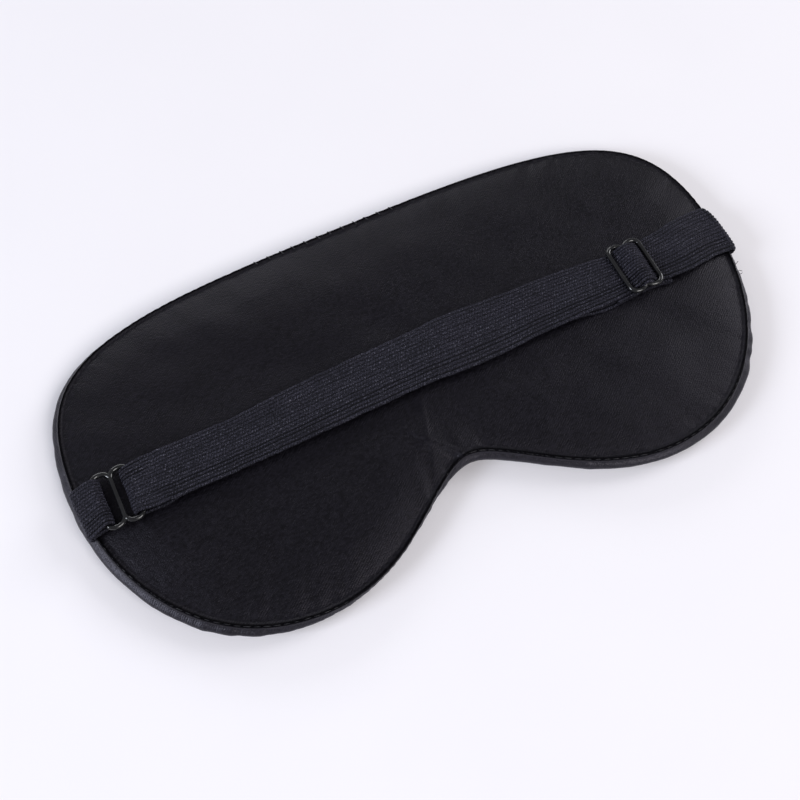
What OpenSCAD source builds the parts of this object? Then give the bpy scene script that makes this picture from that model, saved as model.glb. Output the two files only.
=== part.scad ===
// Padded sleep mask with an elastic head strap, a threading ring and a slider.
// Units are millimetres. X runs along the mask, Y towards the brow, Z up.
// The outer face of the mask lies down on Z = 0 and the face side, with the
// strap laid flat on it, is up.

/* [Mask] */
// Length of the mask from temple to temple
mask_len = 204.4; // [165:0.1:245]
// Height of the mask from brow to cheek
mask_wid = 106.4; // [85:0.1:128]
// How far the nose notch rises above the cheek lobes
nose_rise = 22.2; // [14:0.1:28]
// Thickness of the puffed pad at its crown
pad_h = 8.0; // [6:0.1:10]
// Thickness of each fabric panel
panel_t = 0.4; // [0.3:0.05:0.7]
// Thickness of the sewing thread
thread_d = 0.4; // [0.25:0.05:0.5]

/* [Strap] */
// Width of the relaxed elastic in the middle of the strap
strap_w = 17.4; // [14:0.1:20.9]
// Thickness of the elastic
strap_t = 0.9; // [0.7:0.05:1.1]
// Distance of the slider's middle bar from the right rim of the mask
slider_in = 32.8; // [28:0.1:40]

/* [Ring and slider] */
// Size of the ring and of the slider across the strap
frame_w = 17.2; // [14.3:0.1:20.7]
// Size of the ring and of the slider along the strap
frame_l = 11.4; // [10.8:0.1:13.7]
// Thickness of the coated wire
wire_d = 1.45; // [1.2:0.05:1.75]
// Distance of the ring's middle bar from the left rim of the mask
ring_in = 13.0; // [12.6:0.1:16]

/* [Hidden] */
$fn = 64;
half_len = mask_len / 2;
half_wid = mask_wid / 2;
// Space between pieces of one moving body, and between two bodies.
fit_gap = 0.12;
body_gap = 0.3;
// The rim of the pad, a little above half its thickness.
rim_z = 0.525 * pad_h;
// How far the rounded edge reaches inwards, as a share of the way to the spine.
roll_top = 0.45;
roll_base = 0.33;
// The seam lies in a groove this far round the top of the edge, in degrees.
groove_a = 25;
groove_half = 2.5;
// The line down the middle of the mask to which the outline is drawn in.
spine_y = 3;
spine_k = 0.58;
// The last loop before the flat crown and the flat base.
cap_s = 0.8;
// Points along the brow, the temple and cheek, and the nose, for half a mask.
n_brow = 10;
n_cheek = 14;
n_nose = 10;
// Steps of the rounded edge.
n_roll = 7;

// Heights of the strap's layers above the pad.
layer = strap_t + fit_gap;
under_z = pad_h + 0.45 + strap_t / 2;
tuck_z = under_z + layer;
over_z = tuck_z + layer;
wire_r = wire_d / 2;
hug_r = wire_r + fit_gap + strap_t / 2;
slider_z = over_z + hug_r;
ring_z = under_z + hug_r;
// Half the distance between the two outer bars, and half the frame's width.
bar_x = (frame_l - wire_d) / 2;
end_y = (frame_w - wire_d) / 2;
outer_bend = 2.0;
waist_bend = 2.5;
// The widest strap that lies flat between the bends of a frame.
tight_w = 2 * (end_y - outer_bend + 0.35);
inner_w = frame_w - 2 * wire_d;

ring_x = ring_in - half_len;
ring_y = -1.7;
slider_x = half_len - slider_in;
slider_y = 0.1;
anchor_y = 2.8;

// Ends of the strap's zones.
wave_l = slider_x - 11.6;
wave_r = slider_x + 11.4;
fold_end = ring_x + bar_x + 3.8;
run_end = fold_end + 0.27 * (wave_l - fold_end);
// The sewn right end of the strap turns over the rim.
turn_x = half_len - 1.3;
turn_r = 1.7;
turn_z = rim_z + turn_r;
// How far the wadding's edge lies in from the rim at the temples.
fill_in = 0.5 * roll_base * (1 - spine_k) * half_len;
root_in = fill_in - 1.9;
lift_x = turn_x - 0.15;
// The tab's two layers come up out of the groove, inside the rolled rim of the
// outer panel, and turn over the edge of the face panel.
groove_in = roll_top * (1 - cos(groove_a - groove_half)) * (1 - spine_k) * half_len
    + panel_t * cos(groove_a - groove_half);
mouth_a = 37;
tab_bore = 0.74;
tab_r = tab_bore + (2 * strap_t + fit_gap) / 2;
tab_out = tab_bore + 2 * strap_t + fit_gap;
tab_z = rim_z + (pad_h - rim_z - panel_t) * sin(mouth_a) + tab_bore - 0.13;
tab_rise = tab_z - rim_z - (pad_h - rim_z - panel_t) * sin(groove_a - groove_half);
tab_x = half_len - groove_in - fit_gap - sqrt(pow(tab_out, 2) - pow(tab_rise, 2));
tab_root = half_len - fill_in + 1.2;
tab_hug = wire_r + body_gap + strap_t / 2;
tack_x = slider_x - bar_x - 2.4;

// ---------- shared shapes ----------

function bez(a, b, c, d, t) =
    pow(1 - t, 3) * a + 3 * t * pow(1 - t, 2) * b + 3 * t * t * (1 - t) * c + pow(t, 3) * d;

// Half of the outline, from the middle of the brow round to the nose, in three spans.
brow_top = [0, half_wid];
brow_pull = [0.828 * half_len, half_wid];
temple = [half_len, 4.9];
temple_up = [half_len, 4.9 + 0.795 * half_wid];
temple_down = [half_len, 4.9 - 0.497 * half_wid];
cheek = [0.523 * half_len, -half_wid];
cheek_out = [0.836 * half_len, -half_wid];
cheek_in = [0.269 * half_len, -half_wid];
nose_top = [0, nose_rise - half_wid];
nose_pull = [0.113 * half_len, nose_rise - half_wid];

half_outline = concat(
    [for (i = [0:n_brow - 1]) bez(brow_top, brow_pull, temple_up, temple, i / n_brow)],
    [for (i = [0:n_cheek - 1]) bez(temple, temple_down, cheek_out, cheek, i / n_cheek)],
    [for (i = [0:n_nose]) bez(cheek, cheek_in, nose_pull, nose_top, i / n_nose)]
);
n_half = len(half_outline);
outline = concat(
    half_outline,
    [for (i = [n_half - 2:-1:1]) [-half_outline[i][0], half_outline[i][1]]]
);

// A point a share s of the way from the outline to the spine, drawn in by inset.
function inward(p, s, inset) =
    let (to = [spine_k * p[0], spine_y] - p)
    p + to * s + to / norm(to) * inset;

function loop(s, inset, z) = [for (p = outline) concat(inward(p, s, inset), [z])];

// A loop on the rounded top edge at angle a, and one on the rounded base edge.
function top_loop(a, inset) =
    loop(roll_top * (1 - cos(a)), inset * cos(a), rim_z + (pad_h - rim_z - inset) * sin(a));
function base_loop(a, inset) =
    loop(roll_base * (1 - cos(a)), inset * cos(a), rim_z - (rim_z - inset) * sin(a));

function steps(a, b, n) = [for (i = [0:n]) a + (b - a) * i / n];

// A closed solid through a row of loops. It has a flat cap on the first loop and on
// the last, or, as a ring, runs from the last loop back to the first.
module skin(loops, ring = false) {
    n = len(loops[0]);
    m = len(loops);
    points = [for (l = loops) each l];
    sides = [for (j = [0:m - (ring ? 1 : 2)], i = [0:n - 1])
        let (a = j * n, b = (j + 1) % m * n, k = (i + 1) % n)
        each [[a + i, b + k, a + k], [a + i, b + i, b + k]]];
    caps = [[for (i = [0:n - 1]) i], [for (i = [n - 1:-1:0]) (m - 1) * n + i]];
    polyhedron(points, ring ? sides : concat(sides, caps), convexity = 6);
}

function arc(x, z, r, a, b) = [for (q = steps(a, b, 10)) [x + r * cos(q), z + r * sin(q)]];
function flip(v) = [for (i = [len(v) - 1:-1:0]) v[i]];
function along(p, i) =
    let (d = p[min(i + 1, len(p) - 1)] - p[max(i - 1, 0)]) d / norm(d);
function beside(p, s) = [for (i = [0:len(p) - 1]) p[i] + s * [-along(p, i)[1], along(p, i)[0]]];

// The middle line of the strap seen from above, and its width.
function strap_y(x) = lookup(x, [
    [-half_len, ring_y], [fold_end, ring_y], [-0.6 * half_len, -1.45],
    [-0.4 * half_len, -0.7], [-0.2 * half_len, 0.1], [0, 0.7], [0.3 * half_len, 0.6],
    [wave_l, slider_y], [wave_r, slider_y], [0.93 * half_len, 2.6], [half_len, anchor_y]
]);
function strap_half(x) = lookup(x, [
    [ring_x - bar_x - 1.6, inner_w / 2 + 0.2], [ring_x - bar_x - 1, tight_w / 2 - 0.3],
    [ring_x, tight_w / 2 - 0.3], [ring_x + bar_x + 0.7, tight_w / 2],
    [fold_end, inner_w / 2 + 0.3], [-0.5 * half_len, 0.44 * strap_w],
    [-0.38 * half_len, 0.468 * strap_w], [-0.1 * half_len, 0.487 * strap_w],
    [0.12 * half_len, strap_w / 2], [0.25 * half_len, 0.495 * strap_w],
    [0.39 * half_len, 0.47 * strap_w], [wave_l, inner_w / 2 + 0.3], [slider_x - bar_x - 0.5, tight_w / 2],
    [slider_x - 1.5, tight_w / 2 - 0.4], [slider_x + 1.5, tight_w / 2 - 0.4],
    [slider_x + bar_x + 0.5, tight_w / 2], [wave_r, inner_w / 2 + 0.3],
    [half_len, 0.454 * strap_w]
]);

// A length of elastic along the side view path p, cut to the strap's outline.
module elastic(p, from, to) {
    xs = steps(from, to, ceil((to - from) / 2.5));
    intersection() {
        rotate([90, 0, 0])
            linear_extrude(height = 3 * frame_w, center = true)
                polygon(concat(beside(p, strap_t / 2), flip(beside(p, -strap_t / 2))));
        linear_extrude(height = 60)
            polygon(concat(
                [for (x = xs) [x, strap_y(x) + strap_half(x)]],
                flip([for (x = xs) [x, strap_y(x) - strap_half(x)]])
            ));
    }
}

module bent_wire(bend, from, to) {
    rotate([0, 0, from])
        rotate_extrude(angle = to - from)
            translate([bend, 0])
                circle(r = wire_r);
}

module bar(half_y) {
    rotate([90, 0, 0])
        cylinder(r = wire_r, h = 2 * half_y, center = true);
}

// One end of one lobe of a frame: the waist bend, the end and the corner.
module lobe_end() {
    translate([waist_bend, end_y - waist_bend, 0])
        bent_wire(waist_bend, 90, 180);
    translate([waist_bend, end_y, 0])
        rotate([0, 90, 0])
            cylinder(r = wire_r, h = bar_x - outer_bend - waist_bend);
    translate([bar_x - outer_bend, end_y - outer_bend, 0])
        bent_wire(outer_bend, 0, 90);
}

// A wire frame of two lobes that share the middle bar.
module wire_frame() {
    bar(end_y - waist_bend);
    for (side = [-1, 1])
        translate([side * bar_x, 0, 0])
            bar(end_y - outer_bend);
    for (a = [0, 1], b = [0, 1])
        mirror([a, 0, 0])
            mirror([0, b, 0])
                lobe_end();
}

// Where the right end of the strap leaves the pad over the rim.
module rim_slot() {
    translate([half_len + 5.4, anchor_y, rim_z + 0.15 * turn_r])
        cube([16.4, inner_w + 2.8, 3.2], center = true);
    translate([half_len + 1.4, anchor_y, turn_z])
        cube([8.6, inner_w + 2.8, 2 * turn_r], center = true);
}

// Where the tab comes up out of the groove, through the edge of the face panel.
module tab_slot() {
    translate([-tab_x - 5 + 1.1, ring_y, tab_z])
        cube([10, inner_w + 1.2, 4], center = true);
}

// Where the rim of the outer panel curves away and the tab lies on its edge.
module tab_notch() {
    translate([5 - half_len + groove_in - 0.05, ring_y, tab_z - tab_out + 0.45 + 2.5])
        cube([10, inner_w + 1.2, 5], center = true);
}

// ---------- the pad ----------

module face_panel() {
    color([0.13, 0.13, 0.15])
        difference() {
            skin(concat(
                [loop(cap_s, 0, pad_h)],
                [for (a = steps(90, groove_a + groove_half, n_roll)) top_loop(a, 0)],
                [for (a = steps(groove_a + groove_half, 90, n_roll)) top_loop(a, panel_t)],
                [loop(cap_s, 0, pad_h - panel_t)]
            ));
            tab_slot();
        }
}

module outer_panel() {
    color([0.12, 0.12, 0.14])
        difference() {
            skin(concat(
                [loop(cap_s, 0, panel_t)],
                [for (a = steps(90, 0, n_roll)) base_loop(a, panel_t)],
                [for (a = [8, 16, groove_a - groove_half]) top_loop(a, panel_t)],
                [for (a = [groove_a - groove_half, 16, 8]) top_loop(a, 0)],
                [for (a = steps(0, 90, n_roll)) base_loop(a, 0)],
                [loop(cap_s, 0, 0)]
            ));
            rim_slot();
            tab_notch();
        }
}

module wadding() {
    color([0.85, 0.85, 0.83])
        skin(concat(
            [loop(cap_s, 0, pad_h - panel_t - 0.1)],
            [for (a = steps(90, 52, 5)) top_loop(a, panel_t + 0.1)],
            [for (a = steps(60, 90, 4)) base_loop(a, panel_t + 0.1)],
            [loop(cap_s, 0, panel_t + 0.1)]
        ));
}

// One thread runs right round in the groove between the two panels. The short
// length inside the tab, which it sews down, is left out.
module seam_thread() {
    groove_z = rim_z + (pad_h - rim_z - panel_t / 2) * sin(groove_a);
    color([0.1, 0.1, 0.12])
        difference() {
            skin([for (a = steps(0, 300, 5))
                loop(roll_top * (1 - cos(groove_a)), panel_t / 2 - thread_d / 2 * cos(a),
                    groove_z + thread_d / 2 * sin(a))], ring = true);
            translate([-half_len, ring_y, tab_z])
                cube([10, inner_w + 0.7, 6], center = true);
        }
}

// Hand stitches close the gap through which the mask was turned.
module closing_stitches() {
    color([0.1, 0.1, 0.12])
        for (k = [-7:4])
            let (
                p = bez(brow_top, brow_pull, temple_up, temple, 0.017 * abs(k)),
                q = inward(p, roll_top * (1 - cos(groove_a)), -0.35)
            )
            translate([k < 0 ? -q[0] : q[0], q[1], rim_z + (pad_h - rim_z) * sin(groove_a) + 0.62])
                rotate([-22, 0, 28])
                    rotate([90, 0, 0])
                        cylinder(r = thread_d / 2, h = 2.2, center = true);
}

// A doubled loop of elastic, sewn in at the left rim, that carries the ring.
module left_tab() {
    side = layer / 2;
    bar_at = ring_x - bar_x;
    // Straight runs that touch the turn at the groove and the turn round the bar.
    reach = norm([bar_at + tab_x, ring_z - tab_z]);
    slope = atan2(ring_z - tab_z, bar_at + tab_x);
    over_a = slope + 90 - asin((tab_r + side - tab_hug) / reach);
    under_a = asin((tab_r - side + tab_hug) / reach);
    path = concat(
        [[-tab_root, tab_z - tab_r - side]],
        arc(-tab_x, tab_z, tab_r + side, 270, over_a),
        arc(bar_at, ring_z, tab_hug, over_a, slope - 90 - under_a),
        arc(-tab_x, tab_z, tab_r - side, slope + 90 - under_a, 270),
        [[-tab_root, tab_z - tab_r + side]]
    );
    color([0.17, 0.17, 0.2])
        elastic(path, -half_len - 3, ring_x);
}

// The other end of the strap, sewn in at the right rim and turned over it.
module strap_anchor() {
    color([0.17, 0.17, 0.2])
        elastic(
            concat([[turn_x - root_in, rim_z]], arc(turn_x, turn_z, turn_r, -90, 90)),
            turn_x - root_in - 1, half_len + 3
        );
}

// ---------- the ring and what turns with it ----------

module ring() {
    color([0.07, 0.07, 0.08])
        translate([ring_x, ring_y, ring_z])
            wire_frame();
}

module strap_ring_fold() {
    path = concat(
        [[fold_end, ring_z + hug_r]],
        arc(ring_x + bar_x, ring_z, hug_r, 90, 270),
        [[fold_end, under_z]]
    );
    color([0.17, 0.17, 0.2])
        elastic(path, ring_x, fold_end);
}

// ---------- the strap between the ring and the right rim ----------

module strap_upper_run() {
    start = fold_end + body_gap;
    ramp = 0.4 * (run_end - start);
    path = concat(
        [for (x = steps(start, start + ramp, 8))
            [x, over_z + (ring_z + hug_r - over_z) * (1 + cos(180 * (x - start) / ramp)) / 2]],
        [[run_end, over_z]]
    );
    color([0.17, 0.17, 0.2])
        elastic(path, start, run_end);
}

module strap_lower_run() {
    start = fold_end + body_gap;
    color([0.17, 0.17, 0.2])
        elastic([[start, under_z], [run_end, under_z]], start, run_end);
}

module strap_upper_travel() {
    color([0.17, 0.17, 0.2])
        elastic([[run_end + body_gap, over_z], [wave_l - body_gap, over_z]],
            run_end + body_gap, wave_l - body_gap);
}

module strap_lower_travel() {
    color([0.17, 0.17, 0.2])
        elastic([[run_end + body_gap, under_z], [wave_l - body_gap, under_z]],
            run_end + body_gap, wave_l - body_gap);
}

module strap_tail() {
    start = wave_r + body_gap;
    last = lift_x - 0.15;
    drop = over_z - turn_z - turn_r;
    path = [for (x = steps(start, last, 12))
        [x, turn_z + turn_r + drop * (1 + cos(180 * (x - start) / (last - start))) / 2]];
    color([0.17, 0.17, 0.2])
        elastic(path, start, last);
}

// ---------- the slider and the elastic threaded through it ----------

module slider() {
    color([0.07, 0.07, 0.08])
        translate([slider_x, slider_y, slider_z])
            wire_frame();
}

// The slope of the elastic between one bar and the next.
climb = asin((2 * hug_r + layer) / bar_x);

module strap_slider_wave() {
    path = concat(
        [[wave_l, over_z]],
        arc(slider_x - bar_x, slider_z, hug_r, -90, climb - 90),
        arc(slider_x, slider_z, hug_r + layer, 90 + climb, 90 - climb),
        arc(slider_x + bar_x, slider_z, hug_r, -90 - climb, -90),
        [[wave_r, over_z]]
    );
    color([0.17, 0.17, 0.2])
        elastic(path, wave_l, wave_r);
}

// The strap's free end, brought under the slider and sewn round its middle bar.
module strap_end_loop() {
    path = concat(
        [[wave_l, under_z]],
        arc(slider_x + bar_x + 2.9, (under_z + tuck_z) / 2, layer / 2, -90, 90),
        arc(slider_x + bar_x, slider_z, hug_r + layer, -90, -90 - climb),
        arc(slider_x, slider_z, hug_r, 90 - climb, 90 + climb),
        arc(slider_x - bar_x, slider_z, hug_r + layer, climb - 90, -90),
        [[tack_x - 2.2, tuck_z]]
    );
    color([0.17, 0.17, 0.2])
        difference() {
            elastic(path, wave_l, wave_r);
            tacks(thread_d + 0.1, 4);
        }
}

// Two rows of stitches through the doubled end of the strap.
module tacks(d, h) {
    for (row = [-0.7, 0.7], k = [-2:2])
        translate([tack_x + row, slider_y + 0.16 * inner_w * k, (under_z + tuck_z) / 2])
            cylinder(r = d / 2, h = h, center = true, $fn = 24);
}

module end_loop_stitches() {
    color([0.1, 0.1, 0.12])
        tacks(thread_d, layer + strap_t + 0.1);
}

face_panel();
outer_panel();
wadding();
seam_thread();
closing_stitches();
left_tab();
strap_anchor();
ring();
strap_ring_fold();
strap_upper_run();
strap_lower_run();
strap_upper_travel();
strap_lower_travel();
strap_tail();
slider();
strap_slider_wave();
strap_end_loop();
end_loop_stitches();
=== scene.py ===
"""Padded sleep mask: a two-panel satin pad, a ribbed elastic strap, a wire ring and a wire slider.

Everything is in metres in the row frame: X along the mask, Y towards the brow, Z up out of the face side.
"""

import math

import bpy
import numpy as np
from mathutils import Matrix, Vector


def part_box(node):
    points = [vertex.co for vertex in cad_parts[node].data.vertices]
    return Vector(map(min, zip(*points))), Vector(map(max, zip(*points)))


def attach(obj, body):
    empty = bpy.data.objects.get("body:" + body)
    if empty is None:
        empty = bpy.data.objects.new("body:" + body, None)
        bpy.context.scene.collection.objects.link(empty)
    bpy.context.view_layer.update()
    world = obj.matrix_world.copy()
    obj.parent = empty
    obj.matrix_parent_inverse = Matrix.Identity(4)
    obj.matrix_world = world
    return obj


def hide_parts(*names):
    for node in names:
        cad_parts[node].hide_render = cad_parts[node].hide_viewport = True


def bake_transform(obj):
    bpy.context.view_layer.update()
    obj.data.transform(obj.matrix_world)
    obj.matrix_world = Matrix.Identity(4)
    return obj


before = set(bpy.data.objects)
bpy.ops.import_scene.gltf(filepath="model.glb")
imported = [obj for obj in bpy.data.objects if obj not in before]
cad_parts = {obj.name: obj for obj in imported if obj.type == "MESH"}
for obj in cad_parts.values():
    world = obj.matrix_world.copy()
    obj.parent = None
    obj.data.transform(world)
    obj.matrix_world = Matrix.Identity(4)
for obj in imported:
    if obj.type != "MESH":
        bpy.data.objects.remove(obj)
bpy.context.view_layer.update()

MM = 0.001


# ---------- sizes in millimetres, taken from the CAD frame where it has them ----------


def span(node):
    """Lowest and highest corner of a CAD node as arrays in millimetres."""
    low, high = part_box(node)
    return np.array(low) / MM, np.array(high) / MM


face_low, face_high = span("face_panel")
outer_high = span("outer_panel")[1]
lower_low, lower_high = span("strap_lower_travel")
upper_low, upper_high = span("strap_upper_travel")
anchor_low, anchor_high = span("strap_anchor")
wave_low, wave_high = span("strap_slider_wave")
fold_high = span("strap_ring_fold")[1]
run_high = span("strap_upper_run")[1]
tab_low = span("left_tab")[0]
ring_low, ring_high = span("ring")
slider_low, slider_high = span("slider")
tack_low, tack_high = span("end_loop_stitches")

half_len = max(abs(face_low[0]), outer_high[0])
half_wid = outer_high[1]
pad_h = face_high[2]
strap_t = lower_high[2] - lower_low[2]
rim_z = anchor_low[2] + strap_t / 2
roll_top = 0.45
roll_base = 0.33
spine_k = 0.58
spine_y = 3.0
nose_y = -31.0

under_z = (lower_low[2] + lower_high[2]) / 2
over_z = (upper_low[2] + upper_high[2]) / 2
tuck_z = (under_z + over_z) / 2
layer = (over_z - under_z) / 2
layer_gap = layer - strap_t
wire_r = (ring_high[2] - ring_low[2]) / 2
ring_at = (ring_low + ring_high) / 2
slider_at = (slider_low + slider_high) / 2
bar_x = (ring_high[0] - ring_low[0]) / 2 - wire_r
frame_w = ring_high[1] - ring_low[1]
hug_r = slider_at[2] - over_z
tab_hug = wire_r + 0.3 + strap_t / 2
turn_r = (anchor_high[2] - anchor_low[2] - strap_t) / 2
turn_z = rim_z + turn_r
turn_x = anchor_high[0] - turn_r - strap_t / 2
strap_w = upper_high[1] - upper_low[1]
inner_w = frame_w - 4 * wire_r
fold_end = fold_high[0]
run_end = run_high[0]
wave_l, wave_r = wave_low[0], wave_high[0]
anchor_y = (anchor_low[1] + anchor_high[1]) / 2
tab_bore = 0.74
tab_r = tab_bore + strap_t + layer_gap / 2
tab_x = -tab_low[0] - tab_bore - 2 * strap_t - layer_gap
tab_z = tab_low[2] + tab_bore + 2 * strap_t + layer_gap

tab_root_x = -half_len + 5.9
RIBS = 15
FABRIC_T = 0.32
STITCH_PITCH = 2.6
# The panels' grids stop at this share of the way from the rim to the spine.
INNER_SHARE = 0.975


# ---------- small tools ----------


def mesh_object(name, verts, faces, material, sharp_faces=()):
    """A mesh piece from points in millimetres."""
    mesh = bpy.data.meshes.new(name)
    mesh.from_pydata((np.asarray(verts) * MM).tolist(), [], faces)
    mesh.validate()
    mesh.update()
    smooth = np.ones(len(mesh.polygons), bool)
    smooth[list(sharp_faces)] = False
    mesh.polygons.foreach_set("use_smooth", smooth)
    mesh.materials.append(material)
    piece = bpy.data.objects.new(name, mesh)
    bpy.context.scene.collection.objects.link(piece)
    return piece


def grid_faces(rows, cols, wrap_rows=False, wrap_cols=False, start=0):
    """Quads of a grid of points stored row by row."""
    faces = []
    for j in range(rows if wrap_rows else rows - 1):
        a = start + j * cols
        b = start + (j + 1) % rows * cols
        for i in range(cols if wrap_cols else cols - 1):
            k = (i + 1) % cols
            faces.append((a + i, a + k, b + k, b + i))
    return faces


def end_caps(rows, cols):
    """The two many-sided faces that close a grid wrapped along its columns."""
    return [tuple(range(cols))[::-1], tuple(range((rows - 1) * cols, rows * cols))]


def smooth_step(t):
    """0 to 1 with a level start and end, for t from 0 to 1."""
    return t * t * (3 - 2 * t)


def waves(points, seed, length, count=28):
    """A smooth random field of about unit size whose features are about length across."""
    rng = np.random.default_rng(seed)
    points = np.asarray(points, float)
    dims = points.shape[-1]
    total = np.zeros(points.shape[:-1])
    for _ in range(count):
        way = rng.normal(size=dims)
        way *= 2 * np.pi / (np.linalg.norm(way) * length * rng.uniform(0.7, 1.6))
        total += np.cos(points @ way + rng.uniform(0, 2 * np.pi))
    return total / math.sqrt(count / 2)


def spline(x, knots):
    """A smooth line through knots (x, value), flat beyond its ends."""
    kx = np.array([k[0] for k in knots], float)
    ky = np.array([k[1] for k in knots], float)
    slope = np.gradient(ky, kx)
    slope[0] = slope[-1] = 0
    x = np.clip(np.asarray(x, float), kx[0], kx[-1])
    i = np.clip(np.searchsorted(kx, x) - 1, 0, len(kx) - 2)
    h = kx[i + 1] - kx[i]
    t = (x - kx[i]) / h
    return (
        (1 + 2 * t) * (1 - t) ** 2 * ky[i]
        + t * (1 - t) ** 2 * h * slope[i]
        + t * t * (3 - 2 * t) * ky[i + 1]
        + t * t * (t - 1) * h * slope[i + 1]
    )


def grid_normals(points, wrap):
    """Unit normals of a grid of points; the second direction may close on itself."""
    down = np.gradient(points, axis=0)
    if wrap:
        along = (np.roll(points, -1, axis=1) - np.roll(points, 1, axis=1)) / 2
    else:
        along = np.gradient(points, axis=1)
    normal = np.cross(down, along)
    return normal / np.maximum(np.linalg.norm(normal, axis=2, keepdims=True), 1e-9)


# ---------- materials ----------


def new_material(name):
    material = bpy.data.materials.new(name)
    material.use_nodes = True
    nodes = material.node_tree.nodes
    return material, nodes, material.node_tree.links, nodes["Principled BSDF"]


def place(nodes):
    """The point on the piece in metres, as a texture coordinate."""
    return nodes.new("ShaderNodeTexCoord").outputs["Object"]


def noise(nodes, links, at, size, detail=3.0, stretch=(1, 1, 1)):
    """Noise whose features are about size metres across."""
    scaled = nodes.new("ShaderNodeMapping")
    scaled.inputs["Scale"].default_value = stretch
    links.new(at, scaled.inputs["Vector"])
    texture = nodes.new("ShaderNodeTexNoise")
    texture.inputs["Scale"].default_value = 1 / size
    texture.inputs["Detail"].default_value = detail
    links.new(scaled.outputs["Vector"], texture.inputs["Vector"])
    return texture.outputs["Fac"]


def ramp(nodes, links, value, stops):
    """A colour ramp over value with (place, (r, g, b)) stops."""
    node = nodes.new("ShaderNodeValToRGB")
    while len(node.color_ramp.elements) < len(stops):
        node.color_ramp.elements.new(0.5)
    for element, (position, colour) in zip(node.color_ramp.elements, stops):
        element.position = position
        element.color = (*colour, 1)
    links.new(value, node.inputs["Fac"])
    return node.outputs["Color"]


def mixed(nodes, links, kind, factor, a, b):
    """A MixRGB of two colour outputs."""
    node = nodes.new("ShaderNodeMixRGB")
    node.blend_type = kind
    node.inputs["Fac"].default_value = factor
    links.new(a, node.inputs["Color1"])
    links.new(b, node.inputs["Color2"])
    return node.outputs["Color"]


def added(nodes, links, a, b, share):
    """a plus share times b."""
    node = nodes.new("ShaderNodeMath")
    node.operation = "MULTIPLY_ADD"
    links.new(b, node.inputs[0])
    node.inputs[1].default_value = share
    links.new(a, node.inputs[2])
    return node.outputs[0]


def bump(nodes, links, shader, height, distance):
    node = nodes.new("ShaderNodeBump")
    node.inputs["Strength"].default_value = 1.0
    node.inputs["Distance"].default_value = distance
    links.new(height, node.inputs["Height"])
    links.new(node.outputs["Normal"], shader.inputs["Normal"])


def ridges(nodes, links, at, pitch, along, turn=0.0, distort=0.0):
    """Fine parallel threads, pitch metres apart."""
    scaled = nodes.new("ShaderNodeMapping")
    scaled.inputs["Rotation"].default_value = (0, 0, turn)
    links.new(at, scaled.inputs["Vector"])
    texture = nodes.new("ShaderNodeTexWave")
    texture.bands_direction = along
    texture.inputs["Scale"].default_value = 0.314 / pitch
    texture.inputs["Distortion"].default_value = distort
    texture.inputs["Detail"].default_value = 1.0
    links.new(scaled.outputs["Vector"], texture.inputs["Vector"])
    return texture.outputs["Fac"]


def satin(name, dark, light, gloss, sheen):
    """Black satin: fine long floats, a faint twill line, slubs, a soft sheen and painted shade along the
    seam.
    """
    material, nodes, links, shader = new_material(name)
    at = place(nodes)
    slub = noise(nodes, links, at, 0.0006, 3.0, (0.5, 1.0, 1.0))
    cloudy = noise(nodes, links, at, 0.022, 2.0)
    grain = noise(nodes, links, at, 0.00038, 2.0)
    twill = ridges(nodes, links, at, 0.0006, "X", 0.9, 1.5)
    tone = ramp(nodes, links, slub, [(0.36, dark), (0.66, light)])
    tint = ramp(nodes, links, cloudy, [(0.3, (0.7, 0.7, 0.72)), (0.7, (1.0, 1.0, 1.0))])
    colour = mixed(nodes, links, "MULTIPLY", 1.0, tone, tint)
    # Painted shade: the seam attribute darkens the colour and dims the specular in the groove along the
    # seam.
    seam_shade_mask = nodes.new("ShaderNodeAttribute")
    seam_shade_mask.attribute_name = "seam"
    shade = ramp(
        nodes, links, seam_shade_mask.outputs["Fac"], [(0.1, (1.0, 1.0, 1.0)), (0.8, (0.25, 0.25, 0.26))]
    )
    colour = mixed(nodes, links, "MULTIPLY", 1.0, colour, shade)
    links.new(colour, shader.inputs["Base Color"])
    shine = ramp(
        nodes, links, seam_shade_mask.outputs["Fac"], [(0.1, (gloss,) * 3), (0.8, (0.05, 0.05, 0.05))]
    )
    links.new(shine, shader.inputs["Specular IOR Level"])
    shader.inputs["Specular Tint"].default_value = (0.90, 0.86, 1.0, 1)
    shader.inputs["Sheen Weight"].default_value = sheen
    shader.inputs["Sheen Roughness"].default_value = 0.35
    shader.inputs["Sheen Tint"].default_value = (0.5, 0.54, 0.75, 1)
    rough = ramp(nodes, links, slub, [(0.25, (0.34, 0.34, 0.34)), (0.8, (0.50, 0.50, 0.50))])
    links.new(rough, shader.inputs["Roughness"])
    height = added(nodes, links, grain, twill, 0.25)
    height = added(nodes, links, height, slub, 0.9)
    bump(nodes, links, shader, height, 0.00011)
    return material


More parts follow.
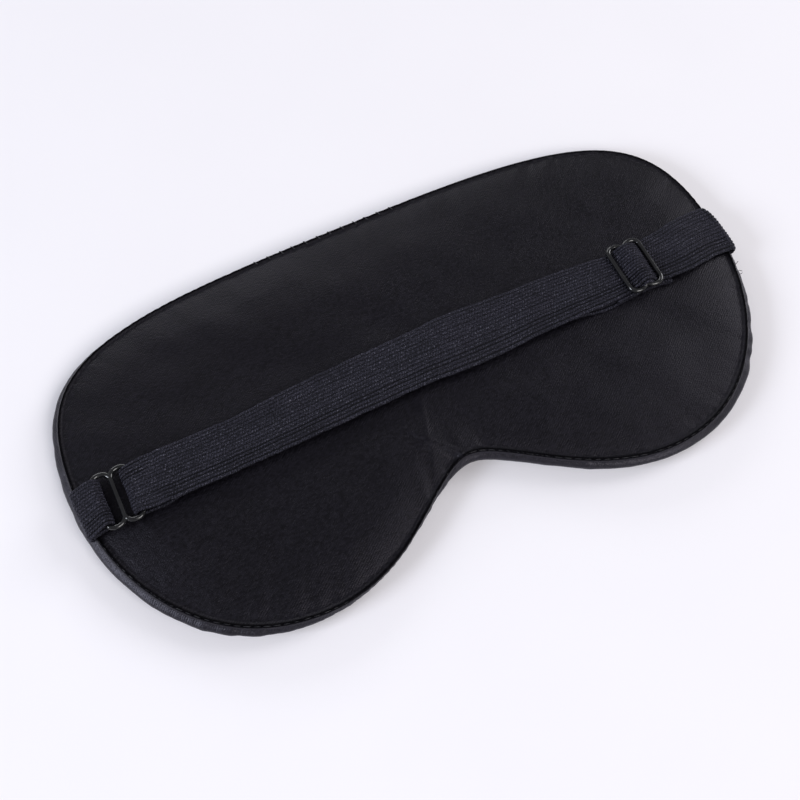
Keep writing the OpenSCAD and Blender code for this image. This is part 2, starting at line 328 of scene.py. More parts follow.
def elastic_yarn(name):
    """Covered rubber yarn: rows of knit loops, painted shade between the ribs, with pale flecks of fluff.
    """
    material, nodes, links, shader = new_material(name)
    at = place(nodes)
    fleck = noise(nodes, links, at, 0.00030, 2.0)
    cloudy = noise(nodes, links, at, 0.006, 3.0, (0.4, 1.0, 1.0))
    loops = ridges(nodes, links, at, 0.00075, "X", 0.5, 1.2)
    cross = ridges(nodes, links, at, 0.00075, "X", -0.5, 1.2)
    tone = ramp(
        nodes,
        links,
        fleck,
        [
            (0.37, (0.0060, 0.0057, 0.0092)),
            (0.52, (0.0210, 0.0202, 0.0325)),
            (0.63, (0.055, 0.053, 0.077)),
            (0.77, (0.25, 0.243, 0.295)),
        ],
    )
    tint = ramp(nodes, links, cloudy, [(0.3, (0.62, 0.62, 0.64)), (0.7, (1.0, 1.0, 1.0))])
    colour = mixed(nodes, links, "MULTIPLY", 1.0, tone, tint)
    knit = ramp(nodes, links, loops, [(0.1, (0.6, 0.6, 0.6)), (0.6, (1.0, 1.0, 1.0))])
    colour = mixed(nodes, links, "MULTIPLY", 0.8, colour, knit)
    # Painted shade: the rib attribute darkens the grooves between the ribs.
    height_on_rib = nodes.new("ShaderNodeAttribute")
    height_on_rib.attribute_name = "rib"
    shade = ramp(
        nodes,
        links,
        height_on_rib.outputs["Fac"],
        [(0.0, (0.10, 0.10, 0.11)), (0.5, (0.62, 0.62, 0.63)), (1.0, (1.0, 1.0, 1.0))],
    )
    colour = mixed(nodes, links, "MULTIPLY", 1.0, colour, shade)
    links.new(colour, shader.inputs["Base Color"])
    shader.inputs["Roughness"].default_value = 0.72
    shader.inputs["Specular IOR Level"].default_value = 0.14
    shader.inputs["Sheen Weight"].default_value = 0.05
    shader.inputs["Sheen Roughness"].default_value = 0.5
    shader.inputs["Sheen Tint"].default_value = (0.6, 0.6, 0.85, 1)
    height = added(nodes, links, loops, cross, 0.8)
    height = added(nodes, links, height, fleck, 1.2)
    bump(nodes, links, shader, height, 0.00012)
    return material


def coated_wire():
    """Black coated steel wire with a faint orange peel and small dull scuffs."""
    material, nodes, links, shader = new_material("coated_wire")
    at = place(nodes)
    peel = noise(nodes, links, at, 0.0008, 2.0)
    scuff = noise(nodes, links, at, 0.003, 4.0)
    colour = ramp(
        nodes, links, scuff, [(0.35, (0.004, 0.004, 0.005)), (0.75, (0.010, 0.010, 0.012))]
    )
    links.new(colour, shader.inputs["Base Color"])
    rough = ramp(nodes, links, scuff, [(0.4, (0.10, 0.10, 0.10)), (0.75, (0.20, 0.20, 0.20))])
    links.new(rough, shader.inputs["Roughness"])
    shader.inputs["Specular IOR Level"].default_value = 0.45
    shader.inputs["Coat Weight"].default_value = 0.5
    shader.inputs["Coat Roughness"].default_value = 0.08
    bump(nodes, links, shader, peel, 0.000006)
    return material


def sewing_thread():
    """Twisted polyester thread."""
    material, nodes, links, shader = new_material("sewing_thread")
    at = place(nodes)
    twist = ridges(nodes, links, at, 0.0003, "DIAGONAL", 0.0, 0.5)
    colour = ramp(
        nodes, links, twist, [(0.2, (0.006, 0.006, 0.008)), (0.8, (0.022, 0.022, 0.028))]
    )
    links.new(colour, shader.inputs["Base Color"])
    shader.inputs["Roughness"].default_value = 0.45
    shader.inputs["Specular IOR Level"].default_value = 0.4
    bump(nodes, links, shader, twist, 0.00003)
    return material


def wadding_fibre():
    """White polyester wadding, inside the pad."""
    material, nodes, links, shader = new_material("wadding_fibre")
    at = place(nodes)
    tuft = noise(nodes, links, at, 0.002, 5.0)
    colour = ramp(nodes, links, tuft, [(0.3, (0.5, 0.5, 0.48)), (0.7, (0.8, 0.8, 0.78))])
    links.new(colour, shader.inputs["Base Color"])
    shader.inputs["Roughness"].default_value = 0.95
    bump(nodes, links, shader, tuft, 0.0004)
    return material


def floor_paint():
    """A plain pale table with the faintest mottle."""
    material, nodes, links, shader = new_material("pale_floor")
    at = place(nodes)
    mottle = noise(nodes, links, at, 0.05, 2.0)
    colour = ramp(nodes, links, mottle, [(0.3, (0.86, 0.84, 0.88)), (0.7, (0.87, 0.85, 0.89))])
    links.new(colour, shader.inputs["Base Color"])
    shader.inputs["Roughness"].default_value = 0.9
    shader.inputs["Specular IOR Level"].default_value = 0.1
    return material


face_satin = satin("face_satin", (0.0016, 0.0014, 0.0024), (0.0058, 0.0052, 0.0082), 0.22, 0.01)
# The outer panel is the same satin as the face panel; its lighter, bluer base colour is a painted
# highlight for the rolled rim.
outer_satin = satin("outer_satin", (0.0020, 0.0018, 0.0032), (0.0070, 0.0065, 0.0110), 0.42, 0.08)
elastic = elastic_yarn("ribbed_elastic")
wire = coated_wire()
thread = sewing_thread()
fibre = wadding_fibre()
pale = floor_paint()


# ---------- the outline of the pad ----------


def bezier(a, b, c, d, count):
    t = np.linspace(0, 1, count, endpoint=False)[:, None]
    a, b, c, d = (np.array(p, float) for p in (a, b, c, d))
    return (1 - t) ** 3 * a + 3 * t * (1 - t) ** 2 * b + 3 * t * t * (1 - t) * c + t**3 * d


def outline(count):
    """Points evenly spaced round the rim, clockwise from the middle of the brow."""
    length, width = half_len, half_wid
    brow = bezier(
        (0, width), (0.828 * length, width), (length, 4.9 + 0.795 * width), (length, 4.9), 400
    )
    cheek = bezier(
        (length, 4.9),
        (length, 4.9 - 0.497 * width),
        (0.836 * length, -width),
        (0.523 * length, -width),
        400,
    )
    nose = bezier(
        (0.523 * length, -width), (0.269 * length, -width), (0.113 * length, nose_y), (0, nose_y), 400
    )
    half = np.vstack([brow, cheek, nose, [(0, nose_y)]])
    whole = np.vstack([half, half[-2::-1] * (-1, 1)])
    step = np.r_[0, np.cumsum(np.linalg.norm(np.diff(whole, axis=0), axis=1))]
    at = np.linspace(0, step[-1], count, endpoint=False)
    return np.c_[np.interp(at, step, whole[:, 0]), np.interp(at, step, whole[:, 1])], at


AROUND = 1040
rim, rim_s = outline(AROUND)
rim_length = rim_s[-1] + rim_s[1]
to_spine = np.c_[spine_k * rim[:, 0], np.full(AROUND, spine_y)] - rim
depth = np.linalg.norm(to_spine, axis=1)


def round_the_rim(places):
    """A smooth value round the rim through ((x, y), value) places, each put at its nearest rim point."""
    knots = sorted((rim_s[np.argmin(((rim - p) ** 2).sum(1))], v) for p, v in places)
    first, last = knots[0], knots[-1]
    knots = [(last[0] - rim_length, last[1])] + knots + [(first[0] + rim_length, first[1])]
    return spline(rim_s, knots)


# How far the seam lies in from the rim on the face side. The outer panel rolls up
# over the rim where it is wide, and the seam sits on the rim where it is near 0.
seam_in = round_the_rim(
    [
        ((0, 53), 0.9),
        ((22, 53), 0.6),
        ((45, 50), 0.35),
        ((80, 42), 0.4),
        ((97, 25), 0.7),
        ((102, 4), 1.4),
        ((98, -20), 2.0),
        ((85, -40), 2.3),
        ((56, -53), 2.1),
        ((32, -48), 2.3),
        ((14, -40), 2.2),
        ((0, -31), 1.9),
        ((-14, -40), 1.0),
        ((-26, -46), 0.4),
        ((-44, -52), 0.7),
        ((-62, -53), 1.6),
        ((-84, -41), 2.3),
        ((-98, -20), 2.5),
        ((-102, 4), 2.6),
        ((-99, 22), 2.4),
        ((-88, 40), 1.9),
        ((-60, 49), 1.2),
        ((-30, 52), 1.0),
    ]
)


def dome(share):
    """Height of the puffed top, from 0 at the rim to 1 at the spine."""
    u = np.clip(share / roll_top, 0, 1)
    swell = np.clip((share - 0.1) / 0.9, 0, 1)
    return np.sqrt(np.maximum(1 - (1 - u) ** 2, 0)) * (0.90 + 0.10 * np.sin(swell * np.pi / 2))


def hollow(share):
    """Depth of the underside, from 0 at the rim to 1 where it lies flat."""
    u = np.clip(share / roll_base, 0, 1)
    return np.sqrt(np.maximum(1 - (1 - u) ** 2, 0))


def pad_points(share, height):
    """Grid of points, one row per share of the way in from the rim."""
    flat = rim[None] + to_spine[None] * share[..., None]
    return np.concatenate([flat, height[..., None]], axis=2)


def pucker(distance, seed):
    """Small gathers that run in from the seam and die out."""
    line = np.stack([np.cos(rim_s / rim_length * 2 * np.pi), np.sin(rim_s / rim_length * 2 * np.pi)], 1)
    line = line * rim_length / (2 * np.pi)
    fine = waves(line, seed, 5.0)
    broad = waves(line, seed + 1, 11.0)
    slack = 0.45 + 0.55 * np.clip(waves(line, seed + 2, 60.0), 0, 1.5)
    near = np.exp(-distance / 3.2) * (1 - np.exp(-distance / 0.5))
    far = np.exp(-distance / 8.0) * (1 - np.exp(-distance / 2.0))
    return slack * (0.13 * fine * near + 0.20 * broad * far)


def pulled_in(distance, deep, wide):
    """The dip beside the seam, a little deeper at each stitch."""
    stitch = 0.5 + 0.5 * np.cos(2 * np.pi * rim_s / STITCH_PITCH + 1.5 * waves(rim_s[:, None], 71, 30.0))
    dip = deep * np.exp(-((distance / wide) ** 1.4))
    return dip + 0.16 * stitch * np.exp(-distance / 1.1) * (1 - np.exp(-distance / 0.25))


def crease(points):
    """The shallow fold that runs up from the top of the nose notch."""
    ends = np.array([[0.0, nose_y + 1.0], [-8.0, -22.0], [-4.0, -9.0]])
    x, y = points[..., 0], points[..., 1]
    total = np.zeros(x.shape)
    for (ax, ay), (bx, by), deep in ((ends[0], ends[1], 1.3), (ends[1], ends[2], 0.5)):
        dx, dy = bx - ax, by - ay
        t = np.clip(((x - ax) * dx + (y - ay) * dy) / (dx * dx + dy * dy), 0, 1)
        off = np.hypot(x - ax - t * dx, y - ay - t * dy)
        on_left = dx * (y - ay) - dy * (x - ax) > 0
        wide = np.where(on_left, 1.8, 5.5)
        fold = np.exp(-((off / wide) ** 2)) + 0.35 * np.exp(-((off / 0.7) ** 2))
        total = np.maximum(total, deep * (1 - 0.55 * t) * fold)
    return total


def under_strap(points):
    """1 under the strap, where the pad is pressed flat, and 0 away from it."""
    return np.exp(-(((points[..., 1] - 0.8) / 12.5) ** 4))


def shell(name, grid, distance, thick, material):
    """A closed fabric shell, thick millimetres through. The grid's last row is its sewn edge."""
    rows, cols = grid.shape[:2]
    normal = grid_normals(grid, True)
    inner = grid - normal * thick
    verts = np.concatenate([grid.reshape(-1, 3), inner[::-1].reshape(-1, 3)])
    faces = grid_faces(2 * rows, cols, wrap_cols=True)
    faces += end_caps(2 * rows, cols)
    piece = mesh_object(name, verts, faces, material)
    # The seam attribute is the mask for painted shade in the groove along the seam.
    seam_shade_mask = np.exp(-((np.concatenate([distance, distance[::-1]]) / 0.30) ** 2))
    piece.data.attributes.new("seam", "FLOAT", "POINT").data.foreach_set("value", seam_shade_mask.ravel())
    return piece


def make_face_panel():
    """The upper satin panel, gathered in along the seam and creased above the nose."""
    seam = seam_in / depth
    steps = np.linspace(1, 0, 96) ** 1.9
    share = seam[None] + (INNER_SHARE - seam[None]) * steps[:, None]
    height = rim_z + (pad_h - rim_z) * dome(share)
    grid = pad_points(share, height)
    distance = (share - seam) * depth
    press = under_strap(grid)
    lift = pucker(distance, 11)
    lift -= pulled_in(distance, 1.0, 0.55)
    inward = np.clip(distance / 12, 0, 1)
    flat = grid[..., :2]
    lift += inward * (0.26 * waves(flat, 21, 46.0) + 0.07 * waves(flat, 22, 15.0)) * (1 - 0.8 * press)
    lift -= crease(grid) + inward * (0.12 + 0.15 * press)
    grid = grid + grid_normals(grid, True) * lift[..., None]
    return grid, distance


def make_outer_panel():
    """The lower panel. It lies flat on the table and rolls up over the rim to the seam."""
    seam = seam_in / depth
    top = np.linspace(1, 0, 14)[:, None] * seam[None]
    base = np.linspace(0, 1, 70)[1:, None] ** 1.7 * INNER_SHARE * np.ones((1, AROUND))
    share = np.vstack([top, base])
    height = np.vstack([rim_z + (pad_h - rim_z) * dome(top), rim_z - rim_z * hollow(base)])
    grid = pad_points(share, height)
    distance = np.vstack([(seam - top) * depth, base * depth + seam * depth])
    lift = 0.9 * pucker(distance, 31)
    lift -= pulled_in(distance, 0.75, 0.5)
    above = np.clip(grid[..., 2] / 1.2, 0, 1)
    lift *= above
    normal = grid_normals(grid, True)
    grid = grid + normal * lift[..., None]
    grid[..., 2] = np.maximum(grid[..., 2], 0.02)
    return grid, distance


face_grid, face_distance = make_face_panel()
outer_grid, outer_distance = make_outer_panel()
face_piece = shell("face_panel_satin", face_grid, face_distance, FABRIC_T, face_satin)
outer_piece = shell(
    "outer_panel_satin",
    outer_grid[::-1, ::-1],
    outer_distance[::-1, ::-1],
    FABRIC_T,
    outer_satin,
)


def make_filling():
    """The wadding, a little inside both panels."""
    start = 6.5 / depth
    up = np.linspace(1, 0, 26)[:, None] ** 1.5 * (INNER_SHARE - start) + start
    down = np.linspace(0, 1, 26)[:, None] ** 1.5 * (INNER_SHARE - start) + start
    top = rim_z + (pad_h - rim_z - 1.15) * dome(up)
    low = rim_z - (rim_z - 0.6) * hollow(down)
    grid = pad_points(np.vstack([up, down]), np.vstack([top, low]))
    faces = grid_faces(len(grid), AROUND, wrap_cols=True) + end_caps(len(grid), AROUND)
    return mesh_object("wadding_filling", grid.reshape(-1, 3), faces, fibre)


filling = make_filling()


# ---------- stitches ----------


def tube(path, radius, sides=8, ends=True):
    """Points and faces of a tube along a path, narrowed at its ends."""
    path = np.asarray(path, float)
    way = np.gradient(path, axis=0)
    way /= np.linalg.norm(way, axis=1, keepdims=True)
    up = np.array([0.0, 0.0, 1.0])
    side = np.cross(way, up)
    side /= np.maximum(np.linalg.norm(side, axis=1, keepdims=True), 1e-6)
    other = np.cross(side, way)
    t = np.linspace(0, 1, len(path))
    taper = np.sqrt(np.clip(1 - (2 * np.abs(t - 0.5)) ** 6, 0.04, 1)) if ends else np.ones(len(path))
    turn = np.linspace(0, 2 * np.pi, sides, endpoint=False)
    ring = np.cos(turn)[None, :, None] * side[:, None] + np.sin(turn)[None, :, None] * other[:, None]
    points = path[:, None] + ring * (radius * taper)[:, None, None]
    faces = grid_faces(len(path), sides, wrap_cols=True) + end_caps(len(path), sides)
    return points.reshape(-1, 3), faces


def joined(parts):
    verts, faces, start = [], [], 0
    for points, shapes in parts:
        verts.append(points)
        faces += [tuple(i + start for i in face) for face in shapes]
        start += len(points)
    return np.vstack(verts), faces


def blocked(x, y):
    """True where a sewn end of elastic covers the seam."""
    at_tab = x < 0 and abs(y - ring_at[1]) < inner_w / 2 + 0.6
    at_anchor = x > 0 and abs(y - anchor_y) < inner_w / 2 + 1.2
    return abs(x) > 90 and (at_tab or at_anchor)


def make_seam_stitches():
    """Lockstitches in the groove between the panels, STITCH_PITCH apart."""
    edge = (face_grid[-1] + outer_grid[0]) / 2 + (0, 0, 0.05)
    parts = []
    closed = np.vstack([edge, edge[:1]])
    run = np.r_[0, np.cumsum(np.linalg.norm(np.diff(closed, axis=0), axis=1))]
    for k in range(int(run[-1] / STITCH_PITCH)):
        at = (k + 0.5) * STITCH_PITCH + np.linspace(-1.05, 1.05, 9)
        path = np.c_[[np.interp(at, run, closed[:, i]) for i in range(3)]].T
        if blocked(path[4, 0], path[4, 1]):
            continue
        path[:, 2] += 0.10 * np.sin(np.linspace(0, np.pi, 9)) - 0.12
        parts.append(tube(path, 0.17))
    return mesh_object("seam_stitches", *joined(parts), thread)


def make_closing_stitches():
    """Hand whip stitches over the turning gap in the brow edge."""
    parts = []
    middle = (face_grid[-1] + outer_grid[0]) / 2
    for x in np.arange(-28.0, 17.0, 4.0):
        i = int(np.argmin(np.hypot(middle[:, 0] - x, (middle[:, 1] - half_wid) * 0.5)))
        p = middle[i]
        lean = np.array([0.45, -1.0, 0.0])
        lean /= np.linalg.norm(lean)
        t = np.linspace(-1, 1, 9)
        path = p + lean * t[:, None] * 1.0
        path[:, 2] += 0.30 + 0.42 * t - 0.25 * t * t
        parts.append(tube(path, 0.17))
    return mesh_object("closing_whip_stitches", *joined(parts), thread)


def make_loose_threads():
    """Three short cut ends of thread at the right rim, just below the strap."""
    parts = []
    for y, reach, curl in ((-9.6, 1.5, 0.9), (-11.8, 1.1, -0.7), (-13.4, 1.3, 0.5)):
        i = int(np.argmin(np.hypot(rim[:, 0] - half_len, rim[:, 1] - y)))
        t = np.linspace(0, 1, 14)
        path = np.c_[
            rim[i, 0] - 1.0 + t * (1.0 + reach),
            rim[i, 1] + curl * t * t,
            rim_z + 0.6 + 0.5 * np.sin(t * 2.6) - 0.4 * t,
        ]
        parts.append(tube(path, 0.09, 6))
    return mesh_object("loose_thread_ends", *joined(parts), thread)


seam_piece = make_seam_stitches()
closing_piece = make_closing_stitches()
loose_piece = make_loose_threads()


# ---------- the elastic ----------


def strap_y(x):
    """The strap's middle line seen from above."""
    return spline(
        x,
        [
            (-half_len, ring_at[1]),
            (ring_at[0], ring_at[1]),
            (fold_end, ring_at[1] + 0.05),
            (-0.68 * half_len, ring_at[1] + 0.25),
            (-0.59 * half_len, -1.5),
            (-0.49 * half_len, -1.25),
            (-0.39 * half_len, -0.68),
            (-0.2 * half_len, 0.13),
            (0, 0.68),
            (0.1 * half_len, 0.75),
            (0.24 * half_len, 0.5),
            (0.39 * half_len, 0.65),
            (0.49 * half_len, 0.4),
            (wave_l, slider_at[1] + 0.05),
            (slider_at[0] + bar_x, slider_at[1]),
            (0.82 * half_len, 0.45),
            (0.88 * half_len, 1.6),
            (0.94 * half_len, 2.6),
            (half_len, anchor_y),
        ],
    )


def strap_half(x):
    """Half the elastic's width: squeezed in the ring and the slider, relaxed between."""
    tight = inner_w / 2 - 0.2
    return spline(
        x,
        [
            (-half_len, inner_w / 2 + 0.2),
            (ring_at[0] - bar_x - 1.5, inner_w / 2 + 0.1),
            (ring_at[0] - bar_x + 0.5, tight),
            (ring_at[0] + bar_x - 1.5, tight),
            (fold_end - 2.5, inner_w / 2 + 0.3),
            (fold_end, inner_w / 2 + 0.45),
            (-0.69 * half_len, 7.6),
            (-0.59 * half_len, 7.55),
            (-0.49 * half_len, 7.68),
            (-0.39 * half_len, 8.1),
            (-0.2 * half_len, 8.36),
            (0, 8.55),
            (0.1 * half_len, strap_w / 2),
            (0.2 * half_len, strap_w / 2 - 0.03),
            (0.3 * half_len, 8.4),
            (0.39 * half_len, 8.17),
            (0.49 * half_len, 7.78),
            (wave_l, inner_w / 2 + 0.4),
            (slider_at[0] - bar_x, tight),
            (slider_at[0], tight - 0.3),
            (slider_at[0] + bar_x, tight),
            (slider_at[0] + bar_x + 3.0, inner_w / 2 + 0.5),
            (wave_r, inner_w / 2 + 0.75),
            (half_len, 0.454 * strap_w),
        ],
    )


def arc(x, z, r, start, end):
    a = np.radians(np.linspace(start, end, 24))
    return [(x + r * math.cos(t), z + r * math.sin(t)) for t in a]


def dense(path, step=0.34):
    """The path resampled evenly, with its tangents and normals in the side view."""
    path = np.asarray(path, float)
    keep = np.r_[True, np.linalg.norm(np.diff(path, axis=0), axis=1) > 1e-6]
    path = path[keep]
    run = np.r_[0, np.cumsum(np.linalg.norm(np.diff(path, axis=0), axis=1))]
    count = max(8, int(run[-1] / step))
    at = np.linspace(0, run[-1], count)
    fine = np.c_[np.interp(at, run, path[:, 0]), np.interp(at, run, path[:, 1])]
    way = np.gradient(fine, axis=0)
    way /= np.linalg.norm(way, axis=1, keepdims=True)
    return fine, at, np.c_[-way[:, 1], way[:, 0]]


# Each groove between two ribs has its own depth. The deep ones lie towards the cheeks.
GROOVES = [0.3, 0.95, 0.55, 0.9, 0.95, 0.45, 0.55, 0.35, 0.5, 0.4, 0.35, 0.5, 0.4, 0.45, 0.5, 0.3]


def rib_height(v, s):
    """Height of the ribs over the elastic's middle thickness, in millimetres."""
    rib_at = (v + 1) / 2 * RIBS
    index = np.clip(np.floor(rib_at).astype(int), 0, RIBS - 1)
    u = rib_at - index
    left = np.array(GROOVES)[index]
    right = np.array(GROOVES)[index + 1]
    groove = left * np.exp(-((u / 0.24) ** 2)) + right * np.exp(-(((1 - u) / 0.24) ** 2))
    body = np.sin(np.pi * np.clip(u, 0, 1)) ** 0.7
    loops = np.cos(2 * np.pi * (s / 0.78 + 0.5 * (index % 2))) * body
    chevron = np.cos(2 * np.pi * (s / 0.78 + 0.5 * (index % 2) + 0.35 * np.abs(u - 0.5)))
    return 0.11 * body - 0.34 * groove + 0.035 * loops + 0.018 * chevron


def right_end(x, v):
    """How far the strap's edges are drawn in where it turns over the right rim."""
    fade = np.clip((x - turn_x + 5.0) / 5.0, 0, 1)
    top = np.clip((v + 0.3) / 1.3, 0, 1) ** 4
    return smooth_step(fade) * (1.3 * top + 0.45 * np.clip(-v, 0, 1) ** 6)


def left_end(x, v):
    """The tab's fold follows the curve of the left rim."""
    fade = np.clip((-tab_x + 2.5 - x) / 2.5, 0, 1)
    return smooth_step(fade) * 0.42 * (-v - 0.15)


def band(name, path, phase=0.0, aside=None, narrower=0.0, tucked_past=None):
    """A length of ribbed elastic along a side view path.

    Past tucked_past it is thinned, to lie hidden inside the piece that carries it on.
    """
    fine, s, normal = dense(path)
    v = np.linspace(-1, 1, RIBS * 8 + 1)
    x, z = fine[:, 0], fine[:, 1]
    middle, half = strap_y(x), strap_half(x) - narrower
    if aside is not None:
        middle = middle + aside(x)
    hidden = np.zeros(len(x))
    if tucked_past is not None:
        hidden = np.clip((x - tucked_past) / 0.4, 0, 1)
    half = half - 0.2 * hidden
    wobble = 0.05 * waves(np.c_[x, z], 41, 3.0) + 0.07 * waves(np.c_[x, z], 42, 14.0)
    squeeze = np.clip(0.5 * strap_w / half - 0.95, 0.0, 0.5)
    y = middle[:, None] + v[None] * (half + wobble)[:, None]
    knit_at = (s + phase)[:, None] + 0.15 * waves(np.c_[v * 8, v * 0], 43, 4.0)[None]
    ribs = rib_height(v[None] * np.ones_like(y), knit_at * np.ones_like(y))
    ribs = ribs * (0.9 + squeeze)[:, None]
    edge = np.sqrt(np.clip(1 - np.abs(v) ** 14, 0, 1))[None]
    thinned = (1 - 0.35 * hidden)[:, None]
    top = (strap_t / 2 - 0.02 + ribs) * edge * thinned + 0.02
    low = (strap_t / 2 - 0.02 + ribs[:, ::-1]) * edge * thinned + 0.02
    drawn = left_end(x[:, None], v[None]) - right_end(x[:, None], v[None])
    across = x[:, None] + drawn
    grain = 0.06 * waves(np.stack([across, y], 2), 44, 9.0)
    mid = np.stack([across, y, z[:, None] + 0 * y], 2)
    out = np.stack([normal[:, 0], np.zeros(len(x)), normal[:, 1]], 1)[:, None]
    upper = mid + out * (top + grain)[..., None]
    lower = mid - out * (low - grain)[..., None]
    rows, cols = upper.shape[:2]
    ring = np.concatenate([upper, lower[:, ::-1]], axis=1)
    faces = grid_faces(rows, 2 * cols, wrap_cols=True)
    wide = 2 * cols
    caps = []
    for j in (0, rows - 1):
        for i in range(cols - 1):
            a, b = j * wide + i, j * wide + i + 1
            c, d = j * wide + wide - 2 - i, j * wide + wide - 1 - i
            quad = (a, d, c, b) if j == 0 else (a, b, c, d)
            caps.append(len(faces))
            faces.append(quad)
    piece = mesh_object(name, ring.reshape(-1, 3), faces, elastic, caps)
    # The rib attribute carries painted shade into the grooves between the ribs.
    shade = np.clip((np.concatenate([ribs, ribs], axis=1) + 0.18) / 0.30, 0, 1)
    piece.data.attributes.new("rib", "FLOAT", "POINT").data.foreach_set("value", shade.ravel())
    return piece


def make_tab():
    """The doubled loop of elastic that comes up out of the seam and holds the ring."""
    side = layer / 2
    bar = ring_at[0] - bar_x
    reach = math.hypot(bar + tab_x, ring_at[2] - tab_z)
    slope = math.degrees(math.atan2(ring_at[2] - tab_z, bar + tab_x))
    over = slope + 90 - math.degrees(math.asin((tab_r + side - tab_hug) / reach))
    under = math.degrees(math.asin((tab_r - side + tab_hug) / reach))
    path = (
        [(tab_root_x, tab_z - tab_r - side)]
        + arc(-tab_x, tab_z, tab_r + side, 270, over)
        + arc(bar, ring_at[2], tab_hug, over, slope - 90 - under)
        + arc(-tab_x, tab_z, tab_r - side, slope + 90 - under, 270)
        + [(tab_root_x, tab_z - tab_r + side)]
    )
    return band("left_tab_elastic", path)


def make_anchor():
    start = [(turn_x - 5.2, rim_z)]
    return band("strap_anchor_elastic", start + arc(turn_x, turn_z, turn_r, -90, 92))


def make_ring_fold():
    bar, loose = ring_at[0] + bar_x, 0.8
    turn = [
        (bar + (x - bar) * (1 + loose / hug_r), z)
        for x, z in arc(bar, ring_at[2], hug_r, 90, 270)
    ]
    tuck = fold_end + 3.2
    path = [(tuck, ring_at[2] + hug_r - 0.05)] + turn + [(tuck, under_z)]
    return band("strap_ring_fold_elastic", path, tucked_past=fold_end)


def make_left_upper():
    start, ramp_l = fold_end, 0.4 * (run_end - fold_end)
    rise = (ring_at[2] + hug_r - over_z) / 2
    path = [
        (x, over_z + rise * (1 + math.cos(math.pi * (x - start) / ramp_l)))
        for x in np.linspace(start, start + ramp_l, 20)
    ]
    return band("strap_upper_left_elastic", path + [(run_end, over_z)])


def lower_aside(x):
    """The lower run lies a little towards the brow, and its sewn end a little towards the cheeks."""
    start = np.clip((np.asarray(x) - fold_end) / 9.0, 0, 1)
    last = np.clip((np.asarray(x) - wave_l + 14.0) / 12.0, 0, 1)
    return 0.85 * smooth_step(start) - 1.75 * smooth_step(last)


def make_left_lower():
    return band(
        "strap_lower_left_elastic", [(fold_end, under_z), (run_end, under_z)], 0.0, lower_aside
    )


climb = math.degrees(math.asin((2 * hug_r + layer) / bar_x))


def make_upper_middle():
    """From the left run, under the slider's left bar, over its middle bar and under the right one."""
    x, z = slider_at[0], slider_at[2]
    path = (
        [(run_end, over_z)]
        + arc(x - bar_x, z, hug_r, -90, climb - 90)
        + arc(x, z, hug_r + layer, 90 + climb, 90 - climb)
        + arc(x + bar_x, z, hug_r, -90 - climb, -90)
    )
    return band("strap_upper_middle_elastic", path)


def make_tail():
    """From under the slider's right bar down to the right rim."""
    start, last = wave_r, turn_x
    drop = over_z - turn_z - turn_r
    xs = np.linspace(start, last, 30)
    share = ((xs - start) / (last - start)) ** 1.25
    path = [(slider_at[0] + bar_x, over_z)] + list(
        zip(xs, turn_z + turn_r + drop * (1 + np.cos(np.pi * share)) / 2)
    )
    return band("strap_tail_elastic", path)


def make_lower_middle():
    """The lower run, brought under the slider, round its middle bar and sewn to itself."""
    x, z = slider_at[0], slider_at[2]
    path = (
        [(run_end, under_z)]
        + arc(x + bar_x + 2.9, (under_z + tuck_z) / 2, layer / 2, -90, 90)
        + arc(x + bar_x, z, hug_r + layer, -90, -90 - climb)
        + arc(x, z, hug_r, 90 - climb, 90 + climb)
        + arc(x - bar_x, z, hug_r + layer, climb - 90, -90)
        + [(x - bar_x - 4.6, tuck_z)]
    )
    return band("strap_lower_middle_elastic", path, 0.0, lower_aside, 0.15)


def make_tacks():
    """Two rows of stitches through the doubled end of the strap."""
    x0 = (tack_low[0] + tack_high[0]) / 2
    low, high = tack_low[2], tack_high[2]
    parts = []
    for row in (-0.7, 0.7):
        for k in range(-2, 3):
            y = slider_at[1] + 0.16 * inner_w * k
            path = np.c_[np.full(9, x0 + row), np.full(9, y), np.linspace(low, high, 9)]
            path[:, 1] += 0.25 * np.linspace(-1, 1, 9)
            parts.append(tube(path, 0.2))
    return mesh_object("end_loop_tack_stitches", *joined(parts), thread)


tab_piece = make_tab()
anchor_piece = make_anchor()
fold_piece = make_ring_fold()
left_upper_piece = make_left_upper()
left_lower_piece = make_left_lower()
upper_middle_piece = make_upper_middle()
lower_middle_piece = make_lower_middle()
tail_piece = make_tail()
tack_piece = make_tacks()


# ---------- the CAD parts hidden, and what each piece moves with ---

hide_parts("face_panel")
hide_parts("outer_panel")
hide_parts("wadding")
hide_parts("seam_thread")
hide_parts("closing_stitches")
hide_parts("left_tab")
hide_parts("strap_anchor")
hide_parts("strap_ring_fold")
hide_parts("strap_upper_run")
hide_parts("strap_lower_run")
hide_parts("strap_upper_travel", "strap_slider_wave")
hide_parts("strap_lower_travel", "strap_end_loop")
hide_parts("strap_tail")
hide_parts("end_loop_stitches")

for piece in (
    face_piece,
    outer_piece,
    filling,
    seam_piece,
    closing_piece,
    loose_piece,
    tab_piece,
    anchor_piece,
):
    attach(piece, "mask")
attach(fold_piece, "ring")
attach(tack_piece, "slider")

for piece in (left_upper_piece, left_lower_piece):
    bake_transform(piece)
for piece in (upper_middle_piece, lower_middle_piece):
    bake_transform(piece)
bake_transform(tail_piece)

for name in ("ring", "slider"):
    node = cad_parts[name]
    node.data.materials.clear()
    node.data.materials.append(wire)


# ---------- floor, light and camera ----------


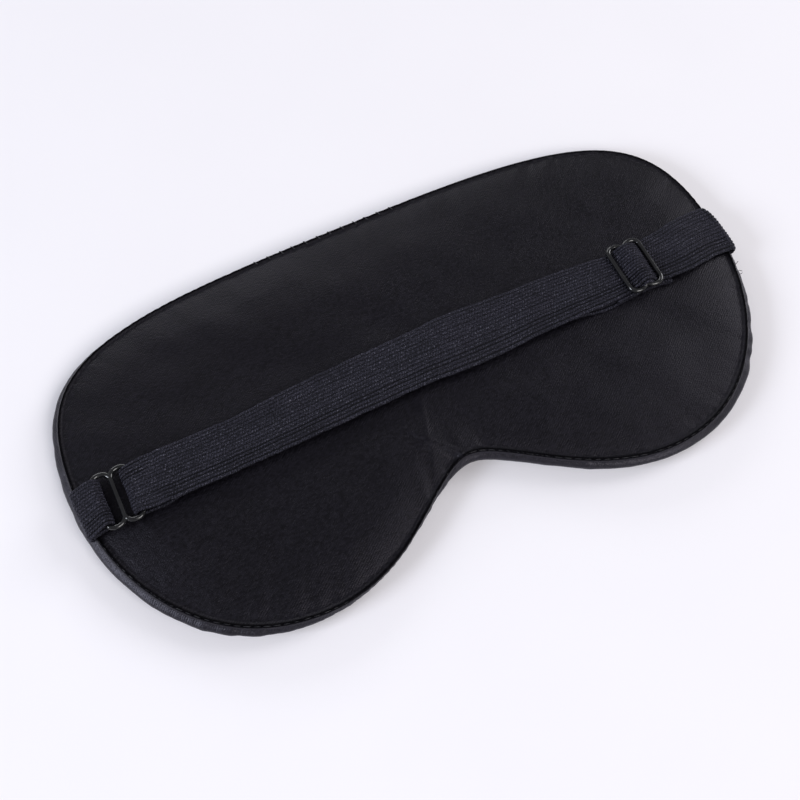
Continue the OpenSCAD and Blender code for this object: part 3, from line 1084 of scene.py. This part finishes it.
def make_floor():
    size, cells = 3000.0, 24
    x, y = np.meshgrid(np.linspace(-size, size, cells), np.linspace(-size, size, cells))
    verts = np.c_[x.ravel(), y.ravel(), np.zeros(x.size)]
    floor = mesh_object("pale_table", verts, grid_faces(cells, cells), pale)


def soft_light(name, position, target, size, power, colour):
    data = bpy.data.lights.new(name, "AREA")
    data.shape = "RECTANGLE"
    data.size, data.size_y = size
    data.energy = power
    data.color = colour
    lamp = bpy.data.objects.new(name, data)
    lamp.location = position
    lamp.rotation_euler = (Vector(target) - Vector(position)).to_track_quat("-Z", "Y").to_euler()
    bpy.context.scene.collection.objects.link(lamp)


def make_studio():
    world = bpy.data.worlds.new("studio")
    bpy.context.scene.world = world
    world.use_nodes = True
    background = world.node_tree.nodes["Background"]
    background.inputs["Color"].default_value = (0.97, 0.975, 1.0, 1)
    background.inputs["Strength"].default_value = 0.265
    soft_light("back_box", (0.0, 1.05, 0.42), (0, 0, 0), (0.9, 0.3), 3.0, (0.97, 0.98, 1.0))
    soft_light("left_box", (-1.05, 0.02, 0.55), (-0.08, 0, 0), (0.5, 0.4), 8.5, (0.86, 0.91, 1.0))
    soft_light("right_box", (1.00, 0.10, 0.62), (0.08, 0, 0), (0.6, 0.5), 5.0, (0.98, 0.98, 1.0))
    soft_light("front_fill", (0.25, -0.95, 0.95), (0, 0, 0), (0.8, 0.6), 9.7, (1.0, 0.98, 0.97))


def make_camera():
    """The photograph's view: 64.3 degrees above the table, turned 25.75 degrees from +Y towards +X."""
    data = bpy.data.cameras.new("camera")
    data.sensor_width = 36.0
    data.lens = 49.5
    camera = bpy.data.objects.new("camera", data)
    position = Vector((-66.8, -126.3, 281.9)) * MM
    target = Vector((-7.9, -4.1, 0.0)) * MM
    camera.location = position
    camera.rotation_euler = (target - position).to_track_quat("-Z", "Y").to_euler()
    bpy.context.scene.collection.objects.link(camera)
    bpy.context.scene.camera = camera


make_floor()
make_studio()
make_camera()
bpy.context.scene.view_settings.view_transform = "Standard"
